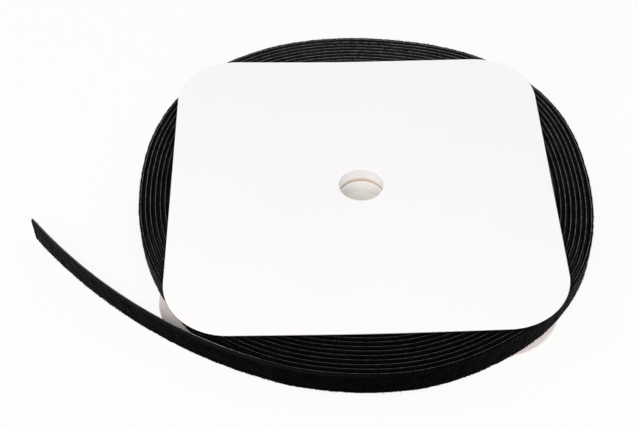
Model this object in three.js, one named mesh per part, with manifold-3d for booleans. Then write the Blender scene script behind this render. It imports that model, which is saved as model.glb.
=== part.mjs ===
// Hook and loop tape roll: a long strip of back-to-back tape wound on a two-part moulded reel.
// Millimetres, +Z up. The origin is on the reel's axis, on the surface that the roll lies on,
// and +Y points to the back. Seen from above, the tape runs clockwise towards its free end.

import * as THREE from 'three';
import { mergeVertices } from 'three/addons/utils/BufferGeometryUtils.js';
import Module from 'manifold-3d';

// Tape: a loop web outside and a hook web inside, bonded back to back
const TAPE_WIDTH = 16;
const LOOP_WEB_THICKNESS = 1.3;
const HOOK_WEB_THICKNESS = 0.8;
const BOND_GAP = 0.3;
const TURN_GAP = 0.6;
const SELVEDGE_WIDTH = 0.8;

// Wound pack: its outer turns, and how far they have slipped out of round
const ROLL_RADIUS = 139.6;
const WOUND_TURNS = 15;
const STEPS_PER_TURN = 36;
const TAKE_OFF_ANGLE = -112;
const DRIFT = 1.9;
const DRIFT_ANGLE = 66;
const OVALITY = 2.4;
const OVALITY_ANGLE = 96;
const THREE_SIDEDNESS = 1.05;
const THREE_SIDED_ANGLE = 13;
const SQUARENESS = 2.25;
const SQUARE_ANGLE = 44;

// Free end: it leaves the roll along a curve that straightens evenly, and its tip comes down to the table
const TAIL_LENGTH = 180;
const TAIL_ROOT_BEND = 243;
const TAIL_TIP_BEND = 456;
const TAIL_STEPS = 16;
const TAIL_TIP_HEIGHT = 0.3;
const PEEL_GAP = 0.3;

// Reel: two flanges, each with half a hub that plugs into the core tube
const FLANGE_SIDE = 224;
const FLANGE_CORNER = 37;
const FLANGE_THICKNESS = 1.1;
const FLANGE_EDGE = 0.3;
const BOTTOM_FLANGE_TURN = 3.5;
const BORE_RADIUS = 13;
const BORE_MOUTH = 0.6;
const HUB_WALL = 1.3;
const HUB_LEAD_IN = 0.5;
const BARE_CORE_BAND = 2.8;
const CORE_WALL = 4;

// Clearances between pieces that touch on the real reel
const SEAT_CLEARANCE = 0.3;
const PLUG_CLEARANCE = 0.3;
const WRAP_CLEARANCE = 0.3;

// Roundness of turned surfaces and corners
const ROUND_SEGMENTS = 48;
const CORNER_SEGMENTS = 12;
const MOUTH_SEGMENTS = 3;
const EDGE_SEGMENTS = 2;
const FINE_STEPS = 24;

// Sizes that follow from the driving dimensions
const FULL_TURN = 2 * Math.PI;
const TAPE_THICKNESS = LOOP_WEB_THICKNESS + BOND_GAP + HOOK_WEB_THICKNESS;
const TURN_PITCH = TAPE_THICKNESS + TURN_GAP;
const TAPE_BOTTOM = FLANGE_THICKNESS + SEAT_CLEARANCE;
const TAPE_TOP = TAPE_BOTTOM + TAPE_WIDTH;
const TOP_FLANGE_SEAT = TAPE_TOP + SEAT_CLEARANCE;
const HUB_LENGTH = (TAPE_WIDTH + 2 * SEAT_CLEARANCE - BARE_CORE_BAND) / 2;
const HUB_RADIUS = BORE_RADIUS + HUB_WALL;
const CORE_INNER_RADIUS = HUB_RADIUS + PLUG_CLEARANCE;
const CORE_RADIUS = CORE_INNER_RADIUS + CORE_WALL;
const TURNS_TO_CORE = (ROLL_RADIUS - CORE_RADIUS) / TURN_PITCH;
const FLANGE_REACH = Math.SQRT2 * (FLANGE_SIDE / 2 - FLANGE_CORNER) + FLANGE_CORNER;

const radians = THREE.MathUtils.degToRad;
const wasm = await Module();
wasm.setup();

const whitePlastic = new THREE.MeshStandardMaterial({ color: 0xf4f2f0, roughness: 0.45, metalness: 0 });
const kraftBoard = new THREE.MeshStandardMaterial({ color: 0xc9a37f, roughness: 0.9, metalness: 0 });
const blackLoop = new THREE.MeshStandardMaterial({ color: 0x17171a, roughness: 1, metalness: 0 });
const blackHook = new THREE.MeshStandardMaterial({ color: 0x232326, roughness: 0.8, metalness: 0 });

// A closed mesh as a solid that can be joined to another.
function toSolid(geometry) {
  const bare = new THREE.BufferGeometry();
  bare.setAttribute('position', geometry.getAttribute('position'));
  bare.setIndex(geometry.getIndex());
  const merged = mergeVertices(bare, 1e-4);
  const mesh = new wasm.Mesh({
    numProp: 3,
    vertProperties: new Float32Array(merged.getAttribute('position').array),
    triVerts: new Uint32Array(merged.getIndex().array),
  });
  return new wasm.Manifold(mesh);
}

// A joined solid back as geometry.
function toGeometry(solid) {
  const mesh = solid.getMesh();
  const geometry = new THREE.BufferGeometry();
  geometry.setAttribute('position', new THREE.BufferAttribute(mesh.vertProperties, 3));
  geometry.setIndex(new THREE.BufferAttribute(mesh.triVerts, 1));
  geometry.computeVertexNormals();
  return geometry;
}

// A ring turned about the Z axis from a closed profile of [radius, height] points.
function turnedRing(profile) {
  const points = profile.map(([radius, height]) => new THREE.Vector2(radius, height));
  points.push(points[0].clone());
  return new THREE.LatheGeometry(points, ROUND_SEGMENTS).rotateX(Math.PI / 2);
}

// A square outline with round corners, centred on the axis.
function flangeOutline() {
  const half = FLANGE_SIDE / 2;
  const centre = half - FLANGE_CORNER;
  const outline = new THREE.Shape();
  for (let quarter = 0; quarter < 4; quarter++) {
    const middle = (quarter + 0.5) * (Math.PI / 2);
    const x = Math.sign(Math.cos(middle)) * centre;
    const y = Math.sign(Math.sin(middle)) * centre;
    outline.absarc(x, y, FLANGE_CORNER, middle - Math.PI / 4, middle + Math.PI / 4, false);
  }
  return outline;
}

// One half of the reel: a thin plate with softened edges, and half a hub hanging from its inner face.
// The inner face lies at height 0 and the hub points down.
function flangeGeometry() {
  const outline = flangeOutline();
  const clearing = new THREE.Path();
  clearing.absarc(0, 0, BORE_RADIUS + HUB_WALL / 2, 0, FULL_TURN, true);
  outline.holes.push(clearing);
  const plate = new THREE.ExtrudeGeometry(outline, {
    depth: FLANGE_THICKNESS - 2 * FLANGE_EDGE,
    curveSegments: CORNER_SEGMENTS / 2,
    bevelThickness: FLANGE_EDGE,
    bevelSize: FLANGE_EDGE,
    bevelOffset: -FLANGE_EDGE,
    bevelSegments: EDGE_SEGMENTS,
  }).translate(0, 0, FLANGE_EDGE);

  const profile = [
    [BORE_RADIUS, -HUB_LENGTH],
    [HUB_RADIUS - HUB_LEAD_IN, -HUB_LENGTH],
    [HUB_RADIUS, HUB_LEAD_IN - HUB_LENGTH],
    [HUB_RADIUS, FLANGE_THICKNESS],
  ];
  for (let i = 0; i <= MOUTH_SEGMENTS; i++) {
    const angle = (i / MOUTH_SEGMENTS) * (Math.PI / 2);
    const radius = BORE_RADIUS + BORE_MOUTH * (1 - Math.sin(angle));
    profile.push([radius, FLANGE_THICKNESS - BORE_MOUTH * (1 - Math.cos(angle))]);
  }
  return toGeometry(toSolid(plate).add(toSolid(turnedRing(profile))));
}

function coreGeometry() {
  return turnedRing([
    [CORE_INNER_RADIUS, TAPE_BOTTOM],
    [CORE_RADIUS, TAPE_BOTTOM],
    [CORE_RADIUS, TAPE_TOP],
    [CORE_INNER_RADIUS, TAPE_TOP],
  ]);
}

// Outer face of the tape, counted in turns back from the take-off: an even spiral that is round at the core
// and grows a little off centre, oval, three-sided and square towards the outside.
function spiralPoint(turns) {
  const angle = radians(TAKE_OFF_ANGLE) + turns * FULL_TURN;
  const swell = (size, sides, at) => size * Math.cos(sides * (angle - radians(at)));
  const outOfRound = swell(DRIFT, 1, DRIFT_ANGLE) + swell(OVALITY, 2, OVALITY_ANGLE)
    + swell(THREE_SIDEDNESS, 3, THREE_SIDED_ANGLE) + swell(SQUARENESS, 4, SQUARE_ANGLE);
  const growth = 1 - turns / TURNS_TO_CORE;
  const radius = ROLL_RADIUS - TURN_PITCH * turns + growth * outOfRound;
  return new THREE.Vector2(radius * Math.cos(angle), radius * Math.sin(angle));
}

// Stations along the wound stretch: a point on the tape's outer face, the way to its inner face, and its lower edge.
function woundStations() {
  const stations = [];
  for (let i = 0; i <= WOUND_TURNS * STEPS_PER_TURN; i++) {
    const point = spiralPoint(i / STEPS_PER_TURN);
    stations.push({ point, inward: point.clone().normalize().negate(), bottom: TAPE_BOTTOM });
  }
  return stations;
}

// Stations along the free end, given from the tip back to the take-off as the wound ones run.
// The heading turns by the bend at each step, and the bend fades evenly towards the tip.
// Past the flange's reach the lower edge sinks, first and last gently, to the height of the tip.
function tailStations() {
  const point = spiralPoint(0);
  const start = point.clone().sub(spiralPoint(1 / (STEPS_PER_TURN * FINE_STEPS)));
  const rootHeading = Math.atan2(start.y, start.x);
  const headingAt = (s) => rootHeading - s / TAIL_ROOT_BEND
    - (1 / TAIL_TIP_BEND - 1 / TAIL_ROOT_BEND) * (s * s) / (2 * TAIL_LENGTH);
  const advance = (from, to) => {
    const step = (to - from) / FINE_STEPS;
    for (let i = 0; i < FINE_STEPS; i++) {
      const heading = headingAt(from + (i + 0.5) * step);
      point.x += step * Math.cos(heading);
      point.y += step * Math.sin(heading);
    }
  };
  const stations = [];
  let travelled = 0;
  for (let i = 0; i <= TAIL_STEPS; i++) {
    const s = PEEL_GAP + (i / TAIL_STEPS) * (TAIL_LENGTH - PEEL_GAP);
    advance(travelled, s);
    travelled = s;
    const heading = headingAt(s);
    const inward = new THREE.Vector2(Math.sin(heading), -Math.cos(heading));
    stations.push({ point: point.clone(), inward, bottom: TAPE_BOTTOM });
  }
  const clear = FLANGE_REACH + TAPE_THICKNESS;
  const tip = point.length();
  for (const station of stations) {
    const sunk = THREE.MathUtils.smoothstep(station.point.length(), clear, Math.max(tip, clear + TAPE_THICKNESS));
    station.bottom -= sunk * (TAPE_BOTTOM - TAIL_TIP_HEIGHT);
  }
  return stations.reverse();
}

// The two webs, by the depth of their faces under the tape's outer face. The loops and hooks stop short
// of the web's edges by the selvedge, so each web is widest at its back.
const LOOP_WEB = {
  outer: { depth: 0, inset: SELVEDGE_WIDTH },
  inner: { depth: LOOP_WEB_THICKNESS, inset: 0 },
};
const HOOK_WEB = {
  outer: { depth: LOOP_WEB_THICKNESS + BOND_GAP, inset: 0 },
  inner: { depth: TAPE_THICKNESS, inset: SELVEDGE_WIDTH },
};

function cornerAt(station, face, upper) {
  const edge = upper ? TAPE_WIDTH - face.inset : face.inset;
  const x = station.point.x + station.inward.x * face.depth;
  const y = station.point.y + station.inward.y * face.depth;
  return new THREE.Vector3(x, y, station.bottom + edge);
}

// A web as one unbroken strip of four sides along its stations, closed at both ends.
function webGeometry(stations, web) {
  const corners = stations.flatMap((station) => [
    cornerAt(station, web.outer, false),
    cornerAt(station, web.outer, true),
    cornerAt(station, web.inner, true),
    cornerAt(station, web.inner, false),
  ]);
  const index = [];
  const addQuad = (a, b, c, d) => index.push(a, b, c, a, c, d);
  for (let i = 0; i + 1 < stations.length; i++) {
    for (let side = 0; side < 4; side++) {
      const next = (side + 1) % 4;
      addQuad(4 * i + side, 4 * i + 4 + side, 4 * i + 4 + next, 4 * i + next);
    }
  }
  const last = 4 * (stations.length - 1);
  addQuad(0, 1, 2, 3);
  addQuad(last + 3, last + 2, last + 1, last);
  const geometry = new THREE.BufferGeometry().setFromPoints(corners);
  geometry.setIndex(index);
  geometry.computeVertexNormals();
  return geometry;
}

// The turns under the modelled ones, as one ring: its outline is the next turn's outer face,
// with a step where the strip goes on inwards.
function innerTurnsGeometry() {
  const outline = new THREE.Shape();
  for (let i = 0; i <= STEPS_PER_TURN; i++) {
    const point = spiralPoint(WOUND_TURNS + i / STEPS_PER_TURN);
    if (i === 0) outline.moveTo(point.x, point.y);
    else outline.lineTo(point.x, point.y);
  }
  outline.closePath();
  const hole = new THREE.Path();
  hole.absarc(0, 0, CORE_RADIUS + WRAP_CLEARANCE, 0, FULL_TURN, true);
  outline.holes.push(hole);
  const depth = TAPE_WIDTH;
  const curveSegments = ROUND_SEGMENTS / 2;
  const ring = new THREE.ExtrudeGeometry(outline, { depth, curveSegments, bevelEnabled: false });
  return ring.translate(0, 0, TAPE_BOTTOM);
}

// The wound strip ends short of the step in the ring below it.
function trimmedAtStep(stations) {
  const end = stations.at(-1).point;
  const before = stations.at(-2).point;
  end.lerp(before, PEEL_GAP / end.distanceTo(before));
  return stations;
}

// Least distance between the inner face of a web and the outer face of the next one in, on its points.
function leastGap(outerStations, outerWeb, innerStations, innerWeb) {
  let least = Infinity;
  const targets = innerStations.map((station) => cornerAt(station, innerWeb.outer, false));
  outerStations.forEach((station, i) => {
    const corner = cornerAt(station, outerWeb.inner, false);
    targets.forEach((target, j) => {
      const sameTurn = outerStations === innerStations && Math.abs(i - j) < STEPS_PER_TURN / 2;
      if (!sameTurn) least = Math.min(least, Math.hypot(corner.x - target.x, corner.y - target.y));
    });
  });
  return least;
}

function addPiece(group, name, geometry, material) {
  const mesh = new THREE.Mesh(geometry, material);
  mesh.name = name;
  group.add(mesh);
  return mesh;
}

const roll = new THREE.Group();

const topFlange = addPiece(roll, 'top_flange', flangeGeometry(), whitePlastic);
topFlange.position.z = TOP_FLANGE_SEAT;
const bottomFlange = addPiece(roll, 'bottom_flange', flangeGeometry(), whitePlastic);
bottomFlange.position.z = FLANGE_THICKNESS;
bottomFlange.rotation.set(Math.PI, 0, radians(BOTTOM_FLANGE_TURN));
addPiece(roll, 'core_tube', coreGeometry(), kraftBoard);

const wound = trimmedAtStep(woundStations());
const tail = tailStations();
addPiece(roll, 'inner_turns', innerTurnsGeometry(), blackHook);
addPiece(roll, 'loop_web', webGeometry(wound, LOOP_WEB), blackLoop);
addPiece(roll, 'hook_web', webGeometry(wound, HOOK_WEB), blackHook);
addPiece(roll, 'loop_tail', webGeometry(tail, LOOP_WEB), blackLoop);
addPiece(roll, 'hook_tail', webGeometry(tail, HOOK_WEB), blackHook);

const report = (what, gap) => console.log(`${what}: ${gap.toFixed(2)} mm`);
report('least gap of loop_web to itself', leastGap(wound, LOOP_WEB, wound, LOOP_WEB));
report('least gap of hook_web to itself', leastGap(wound, HOOK_WEB, wound, HOOK_WEB));
report('least gap between the webs of two turns', leastGap(wound, HOOK_WEB, wound, LOOP_WEB));
report('least gap between the free end and the roll', leastGap(tail, HOOK_WEB, wound, LOOP_WEB));

export default roll;
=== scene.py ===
"""Hook and loop tape roll: black back-to-back tape wound on a reel of two white plastic halves.

Metres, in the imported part's frame: the origin is on the reel's axis, on the table, +Z is up and +Y the back.
Seen from above, the tape runs clockwise from the core to its free end at the front left.
"""

import math
from collections import namedtuple

import bpy
import numpy as np
from mathutils import Matrix, Vector


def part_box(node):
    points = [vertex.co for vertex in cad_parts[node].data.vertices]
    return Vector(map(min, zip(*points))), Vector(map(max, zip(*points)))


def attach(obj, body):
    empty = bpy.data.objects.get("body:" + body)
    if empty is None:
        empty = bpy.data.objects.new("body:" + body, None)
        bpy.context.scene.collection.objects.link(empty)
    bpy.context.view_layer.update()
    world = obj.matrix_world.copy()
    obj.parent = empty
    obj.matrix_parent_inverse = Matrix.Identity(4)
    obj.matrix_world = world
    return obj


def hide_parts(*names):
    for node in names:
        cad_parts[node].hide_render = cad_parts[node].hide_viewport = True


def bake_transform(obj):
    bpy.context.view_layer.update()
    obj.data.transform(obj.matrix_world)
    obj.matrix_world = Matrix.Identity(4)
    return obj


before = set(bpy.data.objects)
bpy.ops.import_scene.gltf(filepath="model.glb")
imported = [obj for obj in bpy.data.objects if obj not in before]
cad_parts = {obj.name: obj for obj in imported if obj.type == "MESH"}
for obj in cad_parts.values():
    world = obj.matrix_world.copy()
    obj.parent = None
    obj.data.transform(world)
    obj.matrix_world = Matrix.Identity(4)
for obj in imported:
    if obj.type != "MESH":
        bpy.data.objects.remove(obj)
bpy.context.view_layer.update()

MM = 0.001
FULL_TURN = 2 * math.pi

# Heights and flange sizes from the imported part
tape_low, tape_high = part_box("loop_web")
flange_low, flange_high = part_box("top_flange")
TAPE_BOTTOM = tape_low.z
TAPE_WIDTH = tape_high.z - tape_low.z
ROLL_TOP = flange_high.z
FLANGE_SIDE = flange_high.x - flange_low.x

# The wound pack's plan, as the solids have it
ROLL_RADIUS = 139.6 * MM
TURN_PITCH = 3.0 * MM
WOUND_TURNS = 15
SHOWN_TURNS = 10
TAKE_OFF_ANGLE = math.radians(-112)
DRIFT = 1.9 * MM
DRIFT_ANGLE = math.radians(66)
OVALITY = 2.4 * MM
OVALITY_ANGLE = math.radians(96)
THREE_SIDEDNESS = 1.05 * MM
THREE_SIDED_ANGLE = math.radians(13)
SQUARENESS = 2.25 * MM
SQUARE_ANGLE = math.radians(44)
Slip = namedtuple("Slip", "angle size spread")
SLIPS = (Slip(-168, 0.5 * MM, 10), Slip(-142, -0.9 * MM, 14), Slip(-81, 0.8 * MM, 10),
         Slip(-58, -0.8 * MM, 9), Slip(-25, 1.0 * MM, 12), Slip(6, -0.8 * MM, 12),
         Slip(37, 0.8 * MM, 16), Slip(79, -1.1 * MM, 13))
SLOW_WOBBLE = 0.1 * MM
SLOW_WOBBLE_SPACING = 85 * MM
QUICK_WOBBLE = 0.05 * MM
QUICK_WOBBLE_SPACING = 13 * MM
WOBBLE_EASE_TURNS = 0.25
CORE_GAP_TURNS = 0.15

# The free end's plan
TAIL_LENGTH = 180 * MM
TAIL_ROOT_BEND = 243 * MM
TAIL_TIP_BEND = 456 * MM
TAIL_TIP_HEIGHT = 0.3 * MM
TAIL_STEP = 0.4 * MM
CUT_SLANT = 1.6 * MM
CUT_RAGGEDNESS = 0.5 * MM
CUT_FADE = 7 * MM
CUT_STEP_SPACING = 2.3 * MM
CUT_NICK_SPACING = 0.8 * MM
CUT_NICK_SHARE = 0.6

# The tape's layers: depths under its outer face, and margins in from its edges. Where turns press on one
# another the pile spreads over the ground's edges; these come out evenly towards the tip of the free end.
PILE_FACE = 0.2 * MM
GROUND_MIDDLE = 1.25 * MM
HOOK_BACK = 1.4 * MM
HOOK_TIPS = 2.75 * MM
TAPE_THICKNESS = 2.4 * MM
HOOK_HOLLOW = (1.75 * MM, 4.5 * MM)
HOOK_MARGIN = 0.38 * MM
HOOK_SELVEDGE = 1.5 * MM
Edges = namedtuple("Edges", "ground_half ground_margin pile_lower pile_upper corner_depth corner_height")
PACKED = Edges(0.17 * MM, 0.27 * MM, 0.1 * MM, 0.16 * MM, 0.4 * MM, 0.4 * MM)
LOOSE = Edges(0.25 * MM, 0.0, 0.0, 1.2 * MM, 0.6 * MM, 0.6 * MM)
LOOSE_FROM = -0.19
PACKED_FROM = 0.0
LOOSE_SELVEDGE = 1.9 * MM
PACKED_SELVEDGE = 0.62 * MM
LAP = 0.1 * MM

# The nap's lumps, and the filaments that stand out of it. Pairs are the least and the most of a random draw:
# of a size in millimetres, of a tilt in radians, or of a share of the depth.
Lumps = namedtuple("Lumps", "tufts swells")
LOOSE_NAP = Lumps(0.13 * MM, 0.14 * MM)
PACKED_NAP = Lumps(0.16 * MM, 0.08 * MM)
HOOK_TANGLE = Lumps(0.2 * MM, 0.05 * MM)
TUFT_SPACING = 1.1 * MM
SWELL_SPACING = 4.2 * MM
FILAMENT_RADIUS = 0.055 * MM
FILAMENT_HALF_SPAN = (0.25, 0.5)
FILAMENT_RISE = (0.25, 0.7)
FILAMENT_SWAY = (-0.3, 0.3)
FACE_FILAMENT_TILT = (-0.5, 0.5)
FACE_FILAMENT_ROOT = 0.2 * MM
EDGE_FILAMENT_TILT = (0.8, 1.5)
EDGE_FILAMENT_SET_IN = (0.1, 0.4)
EDGE_FILAMENT_DEPTH_SHARE = (0.15, 1.0)
COVERED_BY_FLANGE = 2 * MM
STRAND_POINTS = 5

# Thread ends at the cut, and the free end's single hooks, with pairs in millimetres and the curl in degrees
THREAD_RADIUS = 0.08 * MM
THREAD_LENGTH = (0.8, 2.0)
THREAD_DROOP = (-0.6, 0.6)
THREAD_EDGE_MARGIN = 0.3 * MM
THREAD_ROOT = 0.4 * MM
HOOK_ROW_SPACING = 1.45 * MM
HOOK_SPACING = 1.5 * MM
HOOK_STRAY_ALONG = (-0.15, 0.15)
HOOK_STRAY_ACROSS = (-0.12, 0.12)
HOOK_RADIUS = 0.1 * MM
HOOK_CURL = 0.32 * MM
HOOK_CURL_ANGLES = (0, 45, 95, 150, 205)

# The reel
FLANGE_CORNER = 37 * MM
FLANGE_THICKNESS = 1.1 * MM
FLANGE_EDGE = 0.35 * MM
FRONT_LEFT_LIFT = 1.9 * MM
FRONT_RIGHT_LIFT = 2.3 * MM
BACK_LEFT_LIFT = 3.4 * MM
BACK_RIGHT_LIFT = 0.2 * MM
WARP_POWER = 1.5
BORE_RING_SPACING = 1.1 * MM
BORE_RING_DEPTH = 0.03 * MM
BOTTOM_FLANGE_TURN = math.radians(-3.5)
BORE_RADIUS = 13 * MM
BORE_MOUTH = 0.6 * MM
HUB_WALL = 1.3 * MM
HUB_LEAD_IN = 0.5 * MM
BARE_CORE_BAND = 2.8 * MM
SEAT_CLEARANCE = 0.3 * MM
PLUG_CLEARANCE = 0.3 * MM
CORE_WALL = 4 * MM
BOARD_SEAM_LEAD = 22 * MM
BOARD_SEAM_WIDTH = 0.35 * MM
BOARD_SEAM_DEPTH = 0.12 * MM
HUB_LENGTH = (TAPE_WIDTH + 2 * SEAT_CLEARANCE - BARE_CORE_BAND) / 2
CORE_INNER_RADIUS = BORE_RADIUS + HUB_WALL + PLUG_CLEARANCE
CORE_RADIUS = CORE_INNER_RADIUS + CORE_WALL
TURNS_TO_CORE = (ROLL_RADIUS - CORE_RADIUS) / TURN_PITCH
FIRST_TURN = FULL_TURN * (ROLL_RADIUS - TURN_PITCH / 2)
FLANGE_REACH = math.sqrt(2) * (FLANGE_SIDE / 2 - FLANGE_CORNER) + FLANGE_CORNER

# Where the tape's finish changes: brushed nap, and a painted light on the turns under the outer one, which
# lifts the shade in the gaps between them
BRUSHED_FROM = 90 * MM
GAP_FILL_FADE = 10 * MM

# Light. The floor lies a hair over the part's lowest face, so that the two never share a plane. The share of
# its own white is given at the bore and past the flange.
Lamp = namedtuple("Lamp", "name place width depth watts")
LAMPS = (Lamp("left_lamp", (-1.25, 0.1, 1.05), 1.2, 0.8, 7.5),
         Lamp("right_lamp", (1.25, 0.0, 0.95), 1.2, 0.8, 4.5),
         Lamp("front_lamp", (-0.2, -1.4, 1.2), 1.2, 0.8, 22),
         Lamp("back_lamp", (0.25, 1.5, 0.4), 1.2, 0.4, 5))
SKY_STRENGTH = 0.3
FLOOR_SIDE = 6.0
FLOOR_HEIGHT = 0.02 * MM
FLOOR_OWN_WHITE = (0.2, 0.93)

# The camera: its place is measured back from a point on the table
IMAGE_WIDTH = 639
FOCAL_LENGTH_PIXELS = 1348.7
SENSOR_WIDTH_MM = 36
CAMERA_TARGET = Vector((-24.96, -5.53, 0)) * MM
CAMERA_DISTANCE = 805.3 * MM
CAMERA_ELEVATION = math.radians(46.36)
CAMERA_ROLL = math.radians(-1.275)
NEAR_CLIP = 0.01
FAR_CLIP = 20


def eased(share):
    """A share from 0 to 1 that starts and ends gently."""
    return share * share * (3 - 2 * share)


def lattice_noise(u, v, cell, seed):
    """Smooth noise from -1 to 1: random values on a square lattice, eased between its points."""
    size = 256
    table = np.random.default_rng(seed).uniform(-1, 1, (size, size))
    x, y = np.broadcast_arrays(u / cell, v / cell)
    column, row = np.floor(x).astype(int), np.floor(y).astype(int)
    along, across = eased(x - column), eased(y - row)
    near = table[column % size, row % size] * (1 - across) + table[column % size, (row + 1) % size] * across
    far = (table[(column + 1) % size, row % size] * (1 - across)
           + table[(column + 1) % size, (row + 1) % size] * across)
    return near * (1 - along) + far * along


def signed_volume(vertices, quads):
    """Six times the volume that the quads enclose, positive where they face out."""
    a, b, c, d = (vertices[quads[:, i]] for i in range(4))
    return np.einsum("ij,ij->", a, np.cross(b, c)) + np.einsum("ij,ij->", a, np.cross(c, d))


def add_piece(name, vertices, quads, material, caps=(), uv=None):
    """A smooth mesh object from whole arrays, turned inside out if its faces point inwards."""
    vertices = vertices.reshape(-1, 3)
    faces = quads.reshape(-1, 4)
    caps = [list(cap) for cap in caps]
    if signed_volume(vertices, faces) < 0:
        faces = faces[:, ::-1]
        caps = [cap[::-1] for cap in caps]
    mesh = bpy.data.meshes.new(name)
    mesh.from_pydata(vertices.tolist(), [], faces.tolist() + caps)
    mesh.polygons.foreach_set("use_smooth", np.ones(len(mesh.polygons), dtype=bool))
    if uv is not None:
        corner = np.zeros(len(mesh.loops), dtype=np.int32)
        mesh.loops.foreach_get("vertex_index", corner)
        layer = mesh.uv_layers.new(name="tape")
        layer.data.foreach_set("uv", uv.reshape(-1, 2)[corner].astype(np.float32).ravel())
    mesh.materials.append(material)
    piece = bpy.data.objects.new(name, mesh)
    bpy.context.scene.collection.objects.link(piece)
    return piece


def grid_quads(rows, columns, closed_rows=False, closed_columns=False):
    """Vertex numbers of the quads of a grid, joined round at its ends where it is closed."""
    row = np.arange(rows if closed_rows else rows - 1)[:, None]
    column = np.arange(columns if closed_columns else columns - 1)[None, :]
    next_row, next_column = (row + 1) % rows, (column + 1) % columns
    corners = [row * columns + column, next_row * columns + column,
               next_row * columns + next_column, row * columns + next_column]
    return np.stack([np.broadcast_to(c, (row.size, column.size)) for c in corners], axis=-1).reshape(-1, 4)


# Routes: plan points on the tape's outer face, the way inwards, the lower edge and the distance along

def wound_route(first_turn, last_turn, steps_per_turn):
    """The wound tape, in turns back from the take-off. The radius falls by the pitch each turn, and the pack
    grows a little off centre, oval, three-sided and square from the core outwards. Here and there the turns
    have slipped in or out by a smooth bump of the angle, and they have a small random wobble."""
    count = int(round((last_turn - first_turn) * steps_per_turn)) + 1
    turns = np.linspace(first_turn, last_turn, count)
    angle = TAKE_OFF_ANGLE + FULL_TURN * turns
    out_of_round = DRIFT * np.cos(angle - DRIFT_ANGLE) + OVALITY * np.cos(2 * (angle - OVALITY_ANGLE))
    out_of_round += THREE_SIDEDNESS * np.cos(3 * (angle - THREE_SIDED_ANGLE))
    out_of_round += SQUARENESS * np.cos(4 * (angle - SQUARE_ANGLE))
    for slip in SLIPS:
        away = (np.degrees(angle) - slip.angle + 180) % 360 - 180
        out_of_round += slip.size * np.exp(-(away / slip.spread) ** 2)
    along = FULL_TURN * (ROLL_RADIUS * turns - TURN_PITCH * turns ** 2 / 2)
    wobble = SLOW_WOBBLE * lattice_noise(along, 0, SLOW_WOBBLE_SPACING, seed=11)
    wobble += QUICK_WOBBLE * lattice_noise(along, 0, QUICK_WOBBLE_SPACING, seed=12)
    radius = ROLL_RADIUS - TURN_PITCH * turns + (1 - turns / TURNS_TO_CORE) * out_of_round
    radius += np.clip(turns / WOBBLE_EASE_TURNS, 0, 1) * wobble
    point = np.stack([radius * np.cos(angle), radius * np.sin(angle)], axis=1)
    tangent = np.gradient(point, axis=0)
    tangent /= np.linalg.norm(tangent, axis=1, keepdims=True)
    inward = np.stack([-tangent[:, 1], tangent[:, 0]], axis=1)
    return point, inward, np.full(count, TAPE_BOTTOM), along


def tail_route():
    """The free end, from its tip back to the take-off: the heading starts along the roll and turns by a bend
    that fades evenly, and the lower edge sinks to the table once it is clear of the flange."""
    root, _, _, _ = wound_route(first_turn=0, last_turn=0.01, steps_per_turn=1000)
    lead = root[0] - root[1]
    count = int(round(TAIL_LENGTH / TAIL_STEP)) + 1
    travel = np.linspace(0, TAIL_LENGTH, count)
    fade = (1 / TAIL_TIP_BEND - 1 / TAIL_ROOT_BEND) / (2 * TAIL_LENGTH)
    heading = math.atan2(lead[1], lead[0]) - travel / TAIL_ROOT_BEND - fade * travel ** 2
    ahead = np.stack([np.cos(heading), np.sin(heading)], axis=1)
    moves = (ahead[1:] + ahead[:-1]) / 2 * np.diff(travel)[:, None]
    point = root[0] + np.concatenate([np.zeros((1, 2)), np.cumsum(moves, axis=0)])
    inward = np.stack([np.sin(heading), -np.cos(heading)], axis=1)
    reach = np.linalg.norm(point, axis=1)
    clear = FLANGE_REACH + TAPE_THICKNESS
    share = np.clip((reach - clear) / (reach[-1] - clear), 0, 1)
    bottom = TAPE_BOTTOM - eased(share) * (TAPE_BOTTOM - TAIL_TIP_HEIGHT)
    return point[::-1], inward[::-1], bottom[::-1], -travel[::-1]


# Sections: depths and heights across the tape, and how far each point follows its layer's bumps. Sizes that
# change along the tape are given as a column, one row for each station.

def edges_at(along):
    """The tape's edges at distances along it: those of the free end ease into those of packed turns."""
    share = np.clip((along - LOOSE_FROM) / (PACKED_FROM - LOOSE_FROM), 0, 1)
    return Edges(*(loose + (packed - loose) * share for loose, packed in zip(LOOSE, PACKED)))


def drawn_in(height, lower, upper):
    """Heights across the tape, drawn together evenly until its edges lie a lower and an upper margin in."""
    return lower + height * (1 - (lower + upper) / TAPE_WIDTH)


def layer_section(back, face, margins, corner, corner_points, face_points, hollow=False):
    """A layer that stands on its back, a margin in from each edge of the tape: across the lower edge, round a
    quarter of an ellipse, up the face, and back over the upper edge. The corner gives the ellipse's depth and
    height, and a hollow one curves in where the others curve out. Its bumps push the corners and the face
    outwards, and leave the back alone."""
    corner_depth, corner_height = corner
    side = math.copysign(1, face - np.mean(back))
    turn = np.linspace(0, math.pi / 2, corner_points)
    rise = np.linspace(0, 1, face_points + 2)[1:-1]
    flat, out, over = np.zeros(face_points), np.sin(turn), np.cos(turn)
    sink, lift = 1 - out, 1 - over
    if hollow:
        out, over = over, out
        sink, lift = out, over
    on_back = np.concatenate([[1], 0 * turn, flat, 0 * turn, [1]])
    set_back = np.concatenate([[0], sink, flat, sink[::-1], [0]])
    up = np.concatenate([[0], 0 * turn, rise, 0 * turn + 1, [1]])
    past_corner = np.concatenate([[0], lift, 1 - 2 * rise, -lift[::-1], [0]])
    depth = (1 - on_back) * face + on_back * back - side * corner_depth * set_back
    height = TAPE_WIDTH * up + corner_height * past_corner
    push_depth = side * np.concatenate([[0], out, flat + 1, out[::-1], [0]])
    push_height = np.concatenate([[0], -over, flat, over[::-1], [0]])
    return depth, drawn_in(height, *margins), push_depth, push_height


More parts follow.
